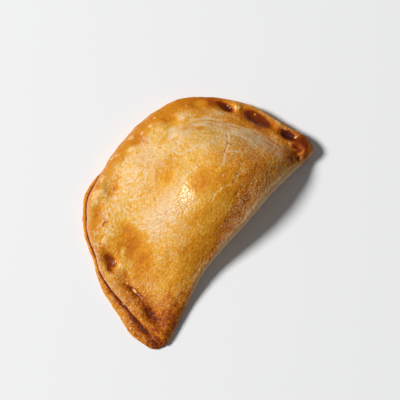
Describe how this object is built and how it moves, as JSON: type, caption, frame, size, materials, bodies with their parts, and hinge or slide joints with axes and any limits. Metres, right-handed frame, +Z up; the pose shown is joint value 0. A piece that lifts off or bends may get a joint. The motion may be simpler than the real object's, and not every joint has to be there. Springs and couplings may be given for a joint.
{
  "type": "baked half-moon pastry",
  "caption": "Baked half-moon pastry with a domed middle, a rolled fold and an edge sealed by finger presses.",
  "frame": {"origin": "on the surface that the pastry rests on, under the middle of its bounding box", "axes": "+X along the fold, from the tip whose layers gape to the other tip; +Y from the fold to the sealed edge; +Z up"},
  "size_m": [0.136, 0.0821, 0.0293],
  "materials": {
    "baked_crust": "golden brown egg-washed crust, satin on the dome, matt along the fold"
  },
  "bodies": {
    "root": {"empanada": "baked_crust"}
  },
  "joints": []
}
